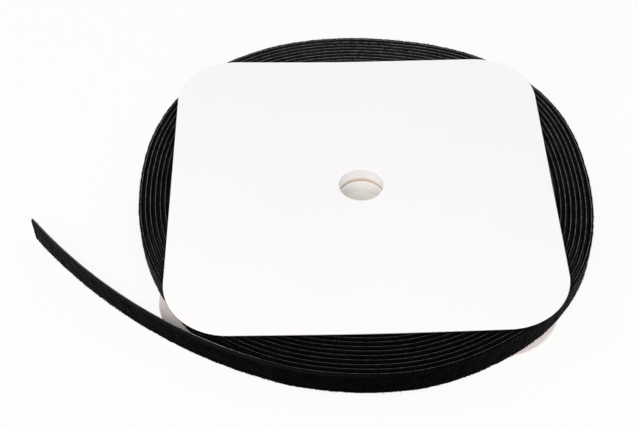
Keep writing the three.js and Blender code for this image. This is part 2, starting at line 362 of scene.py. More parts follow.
def pile_section(route, corner_points, face_points):
    """The loop pile along a route: its back laps over the front of the ground."""
    edges = edges_at(route[3][:, None])
    back = GROUND_MIDDLE - edges.ground_half + LAP
    corner = (edges.corner_depth, edges.corner_height)
    margins = (edges.pile_lower, edges.pile_upper)
    return layer_section(back, PILE_FACE, margins, corner, corner_points, face_points)


def ground_section(route, corner_points, side_points):
    """The woven ground along a route: a flat band with round upper and lower edges."""
    edges = edges_at(route[3][:, None])
    turn = np.linspace(0, math.pi, corner_points)
    rise = np.linspace(0, 1, side_points + 2)[1:-1]
    upper, lower, side = np.ones(corner_points), np.zeros(corner_points), np.ones(side_points)
    thick = np.concatenate([np.cos(turn), -side, -np.cos(turn), side])
    bulge = np.concatenate([np.sin(turn), 0 * side, -np.sin(turn), 0 * side])
    climb = np.concatenate([upper, rise[::-1], lower, rise])
    half = edges.ground_half
    height = half + (TAPE_WIDTH - 2 * half) * climb + half * bulge
    still = np.zeros(len(thick))
    height = drawn_in(height, edges.ground_margin, edges.ground_margin)
    return GROUND_MIDDLE + half * thick, height, still, still


def ragged_cut(along, height):
    """How far the cut at the tip of the free end runs in or out at each height, fading away from the tip."""
    from_tip = np.clip((along + TAIL_LENGTH) / CUT_FADE, 0, 1)
    steps = lattice_noise(height, 0, CUT_STEP_SPACING, seed=41)
    steps = steps + CUT_NICK_SHARE * lattice_noise(height, 0, CUT_NICK_SPACING, seed=42)
    slant = CUT_SLANT * (0.5 - height / TAPE_WIDTH)
    return (slant + CUT_RAGGEDNESS * steps) * (1 - from_tip) ** 2


def ribbon(name, route, section, material, bumps=0.0):
    """A section carried along a route. Each point lies at its depth inwards from the tape's outer face and at
    its height over the lower edge, moved by the bumps along the section's own push, and along the tape by its
    ragged cut. Its UV is the distance along the tape and the height across it."""
    point, inward, bottom, along = route
    depth, height, push_depth, push_height = section
    shape = (len(point), len(push_depth))
    deep = np.broadcast_to(depth + push_depth * bumps, shape)
    tall = np.broadcast_to(bottom[:, None] + height + push_height * bumps, shape)
    plan = point[:, None, :] + inward[:, None, :] * deep[..., None]
    forward = np.stack([inward[:, 1], -inward[:, 0]], axis=1)
    cut = np.broadcast_to(ragged_cut(along[:, None], height), shape)
    plan = plan + forward[:, None, :] * cut[..., None]
    vertices = np.concatenate([plan, tall[..., None]], axis=2)
    uv = np.stack([np.broadcast_to(along[:, None], shape), np.broadcast_to(height, shape)], axis=2)
    rows, columns = shape
    caps = [range(columns), range((rows - 1) * columns, rows * columns)]
    caps[0] = caps[0][::-1]
    return add_piece(name, vertices, grid_quads(rows, columns, closed_columns=True), material, caps, uv)


def pile_bumps(route, section, lumps):
    """Lumps of the napped loops over the face: fine tufts on slower swells."""
    _, _, _, along = route
    depth, height, _, _ = section
    around = height + depth
    tufts = lumps.tufts * lattice_noise(along[:, None], around, TUFT_SPACING, seed=21)
    swells = lumps.swells * lattice_noise(along[:, None], around, SWELL_SPACING, seed=22)
    return tufts + swells


def on_route(route, along, height, depth):
    """Points at distances along a route, heights and depths, with the directions along, up and outwards."""
    point, inward, bottom, distance = route
    order = np.argsort(distance)
    plan = np.stack([np.interp(along, distance[order], point[order, i]) for i in range(2)], axis=1)
    into = np.stack([np.interp(along, distance[order], inward[order, i]) for i in range(2)], axis=1)
    into /= np.linalg.norm(into, axis=1, keepdims=True)
    low = np.interp(along, distance[order], bottom[order])
    spot = np.column_stack([plan + into * depth[:, None], low + height])
    flat = np.zeros(len(along))
    forward = np.column_stack([into[:, 1], -into[:, 0], flat])
    return spot, forward, np.column_stack([flat, flat, flat + 1]), np.column_stack([-into, flat])


def strands(name, centres, side_a, side_b, radius, material, uv):
    """Many thin rods at once: each has a line of centres, and a ring of points about each centre in the plane
    of two directions. Both ends are closed."""
    count, steps, _ = centres.shape
    sides = 3
    turn = FULL_TURN * np.arange(sides) / sides
    first_way, second_way = np.cos(turn)[None, None, :, None], np.sin(turn)[None, None, :, None]
    ring = first_way * side_a[:, :, None] + second_way * side_b[:, :, None]
    vertices = centres[:, :, None] + radius * ring
    one = grid_quads(steps, sides, closed_columns=True)
    quads = (one[None] + (np.arange(count) * steps * sides)[:, None, None]).reshape(-1, 4)
    first = np.arange(count)[:, None] * steps * sides + np.arange(sides)[::-1]
    last = np.arange(count)[:, None] * steps * sides + (steps - 1) * sides + np.arange(sides)
    caps = np.concatenate([first, last]).tolist()
    return add_piece(name, vertices, quads, material, caps, np.repeat(uv, steps * sides, axis=0))


def under_flange(plan):
    """How far plan points lie inside the upper flange's outline: a square with round corners."""
    past = np.abs(plan) - (FLANGE_SIDE / 2 - FLANGE_CORNER)
    outside = np.linalg.norm(np.maximum(past, 0), axis=1) + np.minimum(past.max(axis=1), 0)
    return FLANGE_CORNER - outside


def pile_filaments(name, route, along, height, depth, tilt, material, random):
    """Filaments that stand out of the pile: half ellipses with both feet in it, each turned at random. The
    tilt leans them from straight out of the face towards the upper edge. None goes under the table."""
    count = len(along)
    spot, forward, up, out = on_route(route, along, height, depth)
    lean = tilt[:, None]
    rising = out * np.cos(lean) + up * np.sin(lean)
    sideways = up * np.cos(lean) - out * np.sin(lean)
    turn = random.uniform(0, math.pi, count)[:, None]
    lie = forward * np.cos(turn) + sideways * np.sin(turn)
    across = sideways * np.cos(turn) - forward * np.sin(turn)
    half_span = random.uniform(*FILAMENT_HALF_SPAN, count)[:, None, None] * MM
    rise = random.uniform(*FILAMENT_RISE, count)[:, None, None] * MM
    sway = random.uniform(*FILAMENT_SWAY, count)[:, None, None] * MM
    bow = np.linspace(0, math.pi, STRAND_POINTS)[None, :, None]
    centres = (spot[:, None] + lie[:, None] * half_span * np.cos(bow) + rising[:, None] * rise * np.sin(bow)
               + across[:, None] * sway * np.sin(bow))
    centres[..., 2] = np.maximum(centres[..., 2], FILAMENT_RADIUS)
    arch = rising[:, None] * np.sin(bow) + lie[:, None] * np.cos(bow)
    side = np.broadcast_to(across[:, None], arch.shape)
    return strands(name, centres, arch, side, FILAMENT_RADIUS, material, np.column_stack([along, height]))


def face_filaments(name, route, material, count, seed):
    """Filaments all over the loop face."""
    random = np.random.default_rng(seed)
    along = random.uniform(route[3].min() + MM, route[3].max() - MM, count)
    edges = edges_at(along)
    height = drawn_in(random.uniform(0, TAPE_WIDTH, count), edges.pile_lower, edges.pile_upper)
    tilt = random.uniform(*FACE_FILAMENT_TILT, count)
    depth = np.full(count, PILE_FACE + FACE_FILAMENT_ROOT)
    return pile_filaments(name, route, along, height, depth, tilt, material, random)


def edge_filaments(name, route, material, count, upper_share, seed):
    """Filaments along the pile's upper and lower edges, which half hide the edge of the ground behind them.
    Those that the flange covers are left out."""
    random = np.random.default_rng(seed)
    along = random.uniform(route[3].min() + MM, route[3].max() - MM, count)
    upper = random.uniform(0, 1, count) < upper_share
    edges = edges_at(along)
    set_in = random.uniform(*EDGE_FILAMENT_SET_IN, count) * MM
    height = np.where(upper, TAPE_WIDTH - edges.pile_upper - set_in, edges.pile_lower + set_in)
    share = random.uniform(*EDGE_FILAMENT_DEPTH_SHARE, count)
    depth = PILE_FACE + share * (GROUND_MIDDLE - edges.ground_half - PILE_FACE)
    tilt = np.where(upper, 1.0, -1.0) * random.uniform(*EDGE_FILAMENT_TILT, count)
    spot, _, _, _ = on_route(route, along, height, depth)
    shown = under_flange(spot[:, :2]) < COVERED_BY_FLANGE
    chosen = (values[shown] for values in (along, height, depth, tilt))
    return pile_filaments(name, route, *chosen, material, random)


def cut_threads(name, route, material, count, seed):
    """Ends of warp threads that stand out of the cut: short, thin and bent off at random."""
    random = np.random.default_rng(seed)
    height = random.uniform(THREAD_EDGE_MARGIN, TAPE_WIDTH - THREAD_EDGE_MARGIN, count)
    depth = GROUND_MIDDLE + random.uniform(-1, 1, count) * LOOSE.ground_half
    along = np.full(count, route[3].min() + THREAD_ROOT)
    spot, forward, up, out = on_route(route, along, height, depth)
    spot = spot + forward * ragged_cut(along, height)[:, None]
    reach = np.linspace(0, 1, STRAND_POINTS)[None, :, None]
    length = random.uniform(*THREAD_LENGTH, count)[:, None, None] * MM
    droop = random.uniform(*THREAD_DROOP, (count, 2))[:, None, :] * MM
    centres = (spot[:, None] - forward[:, None] * length * reach
               + (up[:, None] * droop[..., :1] + out[:, None] * droop[..., 1:]) * reach ** 2)
    side_a, side_b = (np.broadcast_to(way[:, None], centres.shape) for way in (up, out))
    return strands(name, centres, side_a, side_b, THREAD_RADIUS, material, np.column_stack([along, height]))


def hook_rows(name, route, material, seed):
    """Hooks on the tape's inner face, in rows along it: a straight stem, then an arc that turns over along
    the tape, one way and the other in turn from row to row."""
    random = np.random.default_rng(seed)
    distance = route[3]
    lines = np.arange(HOOK_SELVEDGE, TAPE_WIDTH - HOOK_SELVEDGE, HOOK_ROW_SPACING)
    posts = np.arange(distance.min() + HOOK_SPACING, distance.max() - HOOK_SPACING / 2, HOOK_SPACING)
    row, post = np.meshgrid(np.arange(len(lines)), posts, indexing="ij")
    row, along = row.ravel(), post.ravel()
    count = len(along)
    along = along + (row % 2) * HOOK_SPACING / 2 + random.uniform(*HOOK_STRAY_ALONG, count) * MM
    height = lines[row] + random.uniform(*HOOK_STRAY_ACROSS, count) * MM
    spot, forward, up, out = on_route(route, along, height, np.full(count, HOOK_BACK))
    into = -out
    way = np.where(row % 2 == 0, 1.0, -1.0)[:, None] * forward
    stem = HOOK_TIPS - HOOK_BACK - HOOK_CURL
    turn = np.radians(HOOK_CURL_ANGLES)
    climb = np.concatenate([[0], stem + HOOK_CURL * np.sin(turn)])[None, :, None]
    reach = np.concatenate([[0], HOOK_CURL * (1 - np.cos(turn))])[None, :, None]
    centres = spot[:, None] + into[:, None] * climb + way[:, None] * reach
    bend = np.concatenate([[0], turn])[None, :, None]
    outer = way[:, None] * -np.cos(bend) + into[:, None] * np.sin(bend)
    side = np.broadcast_to(up[:, None], outer.shape)
    uv = np.column_stack([along, height])
    return strands(name, centres, outer, side, HOOK_RADIUS, material, uv)


# The reel

def flange_outline(corner_points, side_points):
    """Points and outward normals round a square with round corners, going anticlockwise."""
    half = FLANGE_SIDE / 2
    centre = half - FLANGE_CORNER
    turn = np.linspace(0, math.pi / 2, corner_points)
    points, normals = [], []
    for quarter in range(4):
        start = quarter * math.pi / 2
        facing = np.stack([np.cos(start + turn), np.sin(start + turn)], axis=1)
        middle = start + math.pi / 4
        hub = centre * np.sign([math.cos(middle), math.sin(middle)])
        corner = hub + FLANGE_CORNER * facing
        step = np.linspace(0, 1, side_points + 2)[1:-1, None] * 2 * centre
        run = np.array([-math.sin(start + math.pi / 2), math.cos(start + math.pi / 2)])
        points += [corner, corner[-1] + step * run]
        normals += [facing, np.repeat(facing[-1:], side_points, axis=0)]
    return np.concatenate(points), np.concatenate(normals)


def reel_half_profile(mouth_rows=5, bore_rows=25, face_rows=13, edge_rows=7):
    """Columns of share, radius, inset and height round one half of the reel: share 0 lies on a circle of that
    radius, share 1 on the flange's outline drawn in by the inset. From the hub's end up the bore, over the
    rounded mouth, out along the flat face, round the thin edge, and back inside to the hub's end."""
    hold = 0.4 * MM
    hub = BORE_RADIUS + HUB_WALL
    mouth = BORE_RADIUS + BORE_MOUTH
    top, end = FLANGE_THICKNESS, -HUB_LENGTH
    rows = []
    for height in np.linspace(end + hold, top - BORE_MOUTH - hold, bore_rows):
        ring = BORE_RING_DEPTH * math.sin(FULL_TURN * height / BORE_RING_SPACING)
        rows.append((0, BORE_RADIUS + ring, 0, height))
    for turn in np.linspace(0, math.pi / 2, mouth_rows):
        rows.append((0, mouth - BORE_MOUTH * math.cos(turn), 0, top - BORE_MOUTH * (1 - math.sin(turn))))
    rows += [(share, mouth + hold, FLANGE_EDGE + hold, top) for share in np.linspace(0, 1, face_rows)]
    for turn in np.linspace(0, math.pi, edge_rows):
        rows.append((1, 0, FLANGE_EDGE * (1 - math.sin(turn)), top / 2 * (1 + math.cos(turn))))
    rows += [(share, hub + hold, FLANGE_EDGE + hold, 0) for share in np.linspace(1, 0, face_rows)]
    rows += [(0, hub, 0, height) for height in (-hold, end / 2, end + HUB_LEAD_IN)]
    rows += [(0, hub - HUB_LEAD_IN, 0, end), (0, BORE_RADIUS + hold, 0, end)]
    rows.append((0, BORE_RADIUS, 0, end + hold / 4))
    return np.array(rows)


def corner_lift(plan):
    """How far the thin upper flange has warped up at plan points: it grows towards the left and right sides,
    and changes evenly along each side from the lift of its front corner to that of its back corner."""
    across, back = 2 * plan[..., :1] / FLANGE_SIDE, 2 * plan[..., 1:] / FLANGE_SIDE
    left = (1 - back) * FRONT_LEFT_LIFT + (1 + back) * BACK_LEFT_LIFT
    right = (1 - back) * FRONT_RIGHT_LIFT + (1 + back) * BACK_RIGHT_LIFT
    return np.abs(across) ** WARP_POWER * np.where(across < 0, left, right) / 2


def reel_half(name, node, material, flipped):
    """One moulded half: every row of the profile is a ring between a circle and the flange's outline. The
    lower half is the same moulding turned over, and turned a little about the axis."""
    outline, normal = flange_outline(corner_points=24, side_points=9)
    compass = np.arctan2(outline[:, 1], outline[:, 0])
    circle = np.stack([np.cos(compass), np.sin(compass)], axis=1)
    share, radius, inset, height = (column[:, None, None] for column in reel_half_profile().T)
    plan = (1 - share) * radius * circle + share * (outline - inset * normal)
    tall = np.broadcast_to(height, plan.shape[:2] + (1,))
    if flipped:
        c, s = math.cos(BOTTOM_FLANGE_TURN), math.sin(BOTTOM_FLANGE_TURN)
        plan = plan @ np.array([[c, s], [-s, c]])
        tall = FLANGE_THICKNESS - tall
    else:
        tall = tall + ROLL_TOP - FLANGE_THICKNESS + corner_lift(plan)
    vertices = np.concatenate([plan, tall], axis=2)
    rows, columns, _ = vertices.shape
    quads = grid_quads(rows, columns, closed_rows=True, closed_columns=True)
    piece = add_piece(name, vertices, quads, material)
    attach(piece, "reel")
    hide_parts(node)


def board_core(name, material, columns=144, wall_rows=49):
    """The core tube: a wall about the axis, with the seam of the wound board as a shallow spiral groove."""
    across = np.linspace(0, FULL_TURN, columns, endpoint=False)[None, :]
    rise = np.linspace(0, TAPE_WIDTH, wall_rows)[:, None]
    lead = BOARD_SEAM_LEAD
    from_seam = (rise - across / FULL_TURN * lead + lead / 2) % lead - lead / 2
    groove = BOARD_SEAM_DEPTH * np.exp(-(from_seam / BOARD_SEAM_WIDTH) ** 2)
    inner, outer = CORE_INNER_RADIUS + groove, CORE_RADIUS - groove
    radius = np.concatenate([inner, outer[::-1]])
    tall = TAPE_BOTTOM + np.broadcast_to(np.concatenate([rise, rise[::-1]]), radius.shape)
    vertices = np.stack([radius * np.cos(across), radius * np.sin(across), tall], axis=2)
    quads = grid_quads(2 * wall_rows, columns, closed_rows=True, closed_columns=True)
    piece = add_piece(name, vertices, quads, material)
    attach(piece, "reel")
    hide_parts("core_tube")


# Shader groups

def new_group(name, inputs, outputs):
    """An empty shader group with named inputs, each with its socket kind and value, and named outputs."""
    group = bpy.data.node_groups.new(name, "ShaderNodeTree")
    for socket, kind, value in inputs:
        made = group.interface.new_socket(socket, in_out="INPUT", socket_type=kind)
        if value is not None:
            made.default_value = value
    for socket, kind in outputs:
        group.interface.new_socket(socket, in_out="OUTPUT", socket_type=kind)
    return group, group.nodes.new("NodeGroupInput"), group.nodes.new("NodeGroupOutput")


def feed(tree, socket, value):
    """Links another socket to this one, or sets a number or an opaque colour on it."""
    if isinstance(value, bpy.types.NodeSocket):
        tree.links.new(value, socket)
    elif isinstance(value, tuple):
        socket.default_value = (*value, 1)
    else:
        socket.default_value = value


def set_sockets(tree, node, **values):
    """Feeds a node's sockets by name; underscores stand for spaces."""
    for key, value in values.items():
        feed(tree, node.inputs[key.replace("_", " ")], value)


def add_math(tree, operation, *values):
    """A Math node; each value is a socket or a number."""
    node = tree.nodes.new("ShaderNodeMath")
    node.operation = operation
    for socket, value in zip(node.inputs, values):
        feed(tree, socket, value)
    return node.outputs[0]


def add_noise(tree, vector, scale, detail, roughness=0.5):
    """A Noise Texture's value; the scale is a socket or a number."""
    node = tree.nodes.new("ShaderNodeTexNoise")
    set_sockets(tree, node, Vector=vector, Scale=scale, Detail=detail, Roughness=roughness)
    return node.outputs[0]


def add_mix(tree, factor, first, second):
    """A colour mix; each colour is a socket or three numbers. A Mix node's colour sockets come after those
    for numbers and vectors."""
    first_colour, second_colour, colour_result = 6, 7, 2
    node = tree.nodes.new("ShaderNodeMix")
    node.data_type = "RGBA"
    set_sockets(tree, node, Factor=factor)
    feed(tree, node.inputs[first_colour], first)
    feed(tree, node.inputs[second_colour], second)
    return node.outputs[colour_result]


def ramp_between(tree, value, low, high, first=0.0, last=1.0):
    """A value stretched so that low becomes the first number and high the last, held there beyond them."""
    node = tree.nodes.new("ShaderNodeMapRange")
    set_sockets(tree, node, Value=value, From_Min=low, From_Max=high, To_Min=first, To_Max=last)
    return node.outputs[0]


def fibre_speckle_group():
    """Single bright fibres on dark ones, and slow patches where the nap lies another way."""
    group, given, result = new_group(
        "fibre_speckle",
        [("Vector", "NodeSocketVector", None), ("Fibre Scale", "NodeSocketFloat", 1400.0),
         ("Patch Scale", "NodeSocketFloat", 160.0)],
        [("Fibres", "NodeSocketFloat"), ("Patches", "NodeSocketFloat"), ("Height", "NodeSocketFloat")])
    fine = add_noise(group, given.outputs["Vector"], given.outputs["Fibre Scale"], detail=2.0, roughness=0.65)
    slow = add_noise(group, given.outputs["Vector"], given.outputs["Patch Scale"], detail=3.0)
    group.links.new(ramp_between(group, fine, low=0.52, high=0.74), result.inputs["Fibres"])
    group.links.new(ramp_between(group, slow, low=0.35, high=0.7), result.inputs["Patches"])
    group.links.new(fine, result.inputs["Height"])
    return group


def woven_threads_group():
    """Plain weave on the tape's own UV: warp threads along it and weft threads across it, over and under."""
    group, given, result = new_group(
        "woven_threads",
        [("Vector", "NodeSocketVector", None), ("Weft Spacing", "NodeSocketFloat", 0.0011),
         ("Warp Spacing", "NodeSocketFloat", 0.0006)],
        [("Crowns", "NodeSocketFloat")])
    split = group.nodes.new("ShaderNodeSeparateXYZ")
    group.links.new(given.outputs["Vector"], split.inputs[0])
    wefts = add_math(group, "DIVIDE", split.outputs[0], given.outputs["Weft Spacing"])
    warps = add_math(group, "DIVIDE", split.outputs[1], given.outputs["Warp Spacing"])
    weft_wave = add_math(group, "SINE", add_math(group, "MULTIPLY", wefts, FULL_TURN))
    warp_wave = add_math(group, "SINE", add_math(group, "MULTIPLY", warps, FULL_TURN))
    both = add_math(group, "MULTIPLY", weft_wave, warp_wave)
    swing, middle = 0.25, 0.5
    crowns = add_math(group, "MULTIPLY_ADD", add_math(group, "ADD", both, weft_wave), swing, middle)
    group.links.new(crowns, result.inputs["Crowns"])
    return group


def moulded_skin_group():
    """A moulded plastic face: faint flow clouding, and fine scuffs from handling."""
    group, given, result = new_group(
        "moulded_skin",
        [("Vector", "NodeSocketVector", None)],
        [("Clouds", "NodeSocketFloat"), ("Scuffs", "NodeSocketFloat"), ("Height", "NodeSocketFloat")])
    clouds = add_noise(group, given.outputs["Vector"], scale=22.0, detail=3.0)
    stretch = group.nodes.new("ShaderNodeMapping")
    scuff_turn, scuff_stretch = (0, 0, 0.6), (1, 9, 1)
    stretch.inputs["Rotation"].default_value = scuff_turn
    stretch.inputs["Scale"].default_value = scuff_stretch
    group.links.new(given.outputs["Vector"], stretch.inputs["Vector"])
    scuffs = add_noise(group, stretch.outputs[0], scale=70.0, detail=4.0, roughness=0.6)
    grain = add_noise(group, given.outputs["Vector"], scale=1800.0, detail=2.0)
    group.links.new(ramp_between(group, clouds, low=0.3, high=0.7), result.inputs["Clouds"])
    group.links.new(ramp_between(group, scuffs, low=0.6, high=0.8), result.inputs["Scuffs"])
    group.links.new(grain, result.inputs["Height"])
    return group


# Materials

def new_material(name):
    """A node material with a Principled shader, and the Object coordinates to read."""
    material = bpy.data.materials.new(name)
    material.use_nodes = True
    tree = material.node_tree
    shader = tree.nodes["Principled BSDF"]
    coordinates = tree.nodes.new("ShaderNodeTexCoord")
    return material, tree, shader, coordinates


def place_group(tree, group, vector, **values):
    """A group node fed with coordinates, with its own values."""
    node = tree.nodes.new("ShaderNodeGroup")
    node.node_tree = group
    set_sockets(tree, node, Vector=vector, **values)
    return node.outputs


def add_bump(tree, shader, height, strength, distance):
    """Bump from a height, into the shader's normal."""
    node = tree.nodes.new("ShaderNodeBump")
    set_sockets(tree, node, Height=height, Strength=strength, Distance=distance)
    set_sockets(tree, shader, Normal=node.outputs[0])


def place_on_tape(tree, coordinates):
    """The distance along the tape and the height across it, from the piece's own UV."""
    split = tree.nodes.new("ShaderNodeSeparateXYZ")
    tree.links.new(coordinates.outputs["UV"], split.inputs[0])
    return split.outputs[0], split.outputs[1]


def distance_from_origin(tree, coordinates):
    """How far a point lies from the foot of the reel's axis."""
    node = tree.nodes.new("ShaderNodeVectorMath")
    node.operation = "LENGTH"
    tree.links.new(coordinates.outputs["Object"], node.inputs[0])
    return node.outputs["Value"]


def seen_or_reflected(tree):
    """1 where the camera, a reflection or a clear body sees the surface, 0 where it only gives light."""
    path = tree.nodes.new("ShaderNodeLightPath")
    seen = add_math(tree, "MAXIMUM", path.outputs["Is Camera Ray"], path.outputs["Is Glossy Ray"])
    return add_math(tree, "MAXIMUM", seen, path.outputs["Is Transmission Ray"])


def black_pile(speckle):
    """Napped nylon loops: near black with a soft sheen. Single fibres catch the light. On the turns under the
    outer one the fibres and the dark between them are painted lighter, a painted light that lifts the shade in
    the gaps between the turns; towards the tip of the free end the nap has been brushed up. Along the free
    end's upper edge it turns
    grey: partly the nap thinning out over the grey ground, partly a painted highlight on the pile's
    upward-facing top."""
    material, tree, shader, coordinates = new_material("black_loop_pile")
    marks = place_group(tree, speckle, coordinates.outputs["Object"], Fibre_Scale=1300.0, Patch_Scale=190.0)
    along, height = place_on_tape(tree, coordinates)
    brushed = ramp_between(tree, along, BRUSHED_FROM, -TAIL_LENGTH)
    # Painted light: the pile of the turns under the outer one is lighter, to lift the shade in the gaps
    # between the turns.
    gap_fill_light = ramp_between(tree, along, FIRST_TURN - GAP_FILL_FADE, FIRST_TURN + GAP_FILL_FADE)
    loose_base = add_mix(tree, brushed, (0.0004, 0.0004, 0.0004), (0.0006, 0.0006, 0.0006))
    loose_fibres = add_mix(tree, brushed, (0.005, 0.0048, 0.0046), (0.0042, 0.0041, 0.004))
    base = add_mix(tree, gap_fill_light, loose_base, (0.0012, 0.0012, 0.0013))
    fibres = add_mix(tree, gap_fill_light, loose_fibres, (0.013, 0.0129, 0.0134))
    napped = add_mix(tree, marks["Fibres"], base, fibres)
    # Partly painted highlight: towards the free end's upper edge the pile turns grey, partly for the nap
    # thinning out over the grey ground and partly for the light its upward-facing top catches.
    bald_top = TAPE_WIDTH - LOOSE.pile_upper
    near_top = ramp_between(tree, height, bald_top - LOOSE_SELVEDGE, bald_top)
    thinned_and_lit_top = add_math(tree, "MULTIPLY", near_top, brushed)
    colour = add_mix(tree, thinned_and_lit_top, napped, (0.016, 0.0158, 0.0168))
    set_sockets(tree, shader, Base_Color=colour, Roughness=0.95, Specular_IOR_Level=0.0, Sheen_Weight=0.11,
                Sheen_Roughness=0.32)
    add_bump(tree, shader, marks["Height"], strength=0.6, distance=0.3 * MM)
    return material


def loose_fibre(speckle):
    """Single fibres out of the nap: a brownish black, with a few that show up lighter."""
    material, tree, shader, coordinates = new_material("loose_brown_black_fibre")
    marks = place_group(tree, speckle, coordinates.outputs["Object"], Fibre_Scale=700.0, Patch_Scale=500.0)
    colour = add_mix(tree, marks["Patches"], (0.003, 0.0027, 0.0024), (0.021, 0.0192, 0.0178))
    set_sockets(tree, shader, Base_Color=colour, Roughness=0.8, Specular_IOR_Level=0.05)
    return material


def woven_ground(speckle, weave):
    """The woven ground: black threads inside, and grey selvedges along the edges, lighter on the weave's
    crowns.
    The grey is partly the woven edge's own colour and partly a painted highlight for the light the edges
    catch;
    the lighter crowns are painted highlight.
    """
    material, tree, shader, coordinates = new_material("grey_woven_ground")
    threads = place_group(tree, weave, coordinates.outputs["UV"])
    marks = place_group(tree, speckle, coordinates.outputs["Object"], Fibre_Scale=800.0, Patch_Scale=450.0)
    along, height = place_on_tape(tree, coordinates)
    from_edge = add_math(tree, "MINIMUM", height, add_math(tree, "SUBTRACT", TAPE_WIDTH, height))
    width = ramp_between(tree, along, LOOSE_FROM, PACKED_FROM, LOOSE_SELVEDGE, PACKED_SELVEDGE)
    # Partly painted highlight: the grey along the edges and the lighter colour on the weave's crowns stand for
    # the light the edges catch.
    selvedge = ramp_between(tree, add_math(tree, "DIVIDE", from_edge, width), low=1.0, high=0.65)
    base = add_mix(tree, marks["Patches"], (0.062, 0.0611, 0.0652), (0.32, 0.3155, 0.337))
    flecked = add_mix(tree, marks["Fibres"], base, (0.5, 0.493, 0.526))
    crowns_highlighted = add_mix(tree, threads["Crowns"], base, flecked)
    loose = ramp_between(tree, along, PACKED_FROM, LOOSE_FROM)
    edge = add_mix(tree, loose, crowns_highlighted, (0.062, 0.0611, 0.0651))
    colour = add_mix(tree, selvedge, (0.014, 0.014, 0.015), edge)
    set_sockets(tree, shader, Base_Color=colour, Roughness=0.75, Specular_IOR_Level=0.2, Sheen_Weight=0.04,
                Sheen_Roughness=0.4)
    add_bump(tree, shader, threads["Crowns"], strength=0.9, distance=0.2 * MM)
    return material


def black_hooks(speckle):
    """Nylon monofilament hooks: black with a dull gloss."""
    material, tree, shader, coordinates = new_material("black_hook_filament")
    marks = place_group(tree, speckle, coordinates.outputs["Object"], Fibre_Scale=900.0, Patch_Scale=120.0)
    colour = add_mix(tree, marks["Patches"], (0.003, 0.003, 0.0034), (0.017, 0.0168, 0.0186))
    rough = ramp_between(tree, marks["Patches"], low=0.0, high=1.0, first=0.55, last=0.7)
    set_sockets(tree, shader, Base_Color=colour, Roughness=rough, Specular_IOR_Level=0.08)
    add_bump(tree, shader, marks["Height"], strength=0.5, distance=0.2 * MM)
    return material


def white_plastic(name, skin, rim):
    """Moulded white polystyrene: a warm, faintly clouded white with a satin face, which turns to the colour
    of its rim away from the hub. Where that rim colour is pink, on the lower half, it is a painted tint of the
    shade on its corners."""
    material, tree, shader, coordinates = new_material(name)
    marks = place_group(tree, skin, coordinates.outputs["Object"])
    clouded = add_mix(tree, marks["Clouds"], (0.945, 0.925, 0.922), (0.96, 0.943, 0.94))
    towards_rim = ramp_between(tree, distance_from_origin(tree, coordinates), CORE_RADIUS, FLANGE_SIDE / 2)
    colour = add_mix(tree, towards_rim, clouded, rim)
    rough = ramp_between(tree, marks["Scuffs"], low=0.0, high=1.0, first=0.42, last=0.56)
    set_sockets(tree, shader, Base_Color=colour, Roughness=rough, Specular_IOR_Level=0.4)
    add_bump(tree, shader, marks["Height"], strength=0.12, distance=0.05 * MM)
    return material


def kraft_board(speckle):
    """Brown kraft board: long pale fibres on tan."""
    material, tree, shader, coordinates = new_material("tan_kraft_board")
    stretch = tree.nodes.new("ShaderNodeMapping")
    stretch.inputs["Scale"].default_value = (1, 1, 4)
    tree.links.new(coordinates.outputs["Object"], stretch.inputs["Vector"])
    marks = place_group(tree, speckle, stretch.outputs[0], Fibre_Scale=900.0, Patch_Scale=150.0)
    base = add_mix(tree, marks["Patches"], (0.74, 0.61, 0.5), (0.79, 0.67, 0.57))
    colour = add_mix(tree, marks["Fibres"], base, (0.83, 0.74, 0.65))
    set_sockets(tree, shader, Base_Color=colour, Roughness=0.9)
    add_bump(tree, shader, marks["Height"], strength=0.4, distance=0.1 * MM)
    return material


# The tape

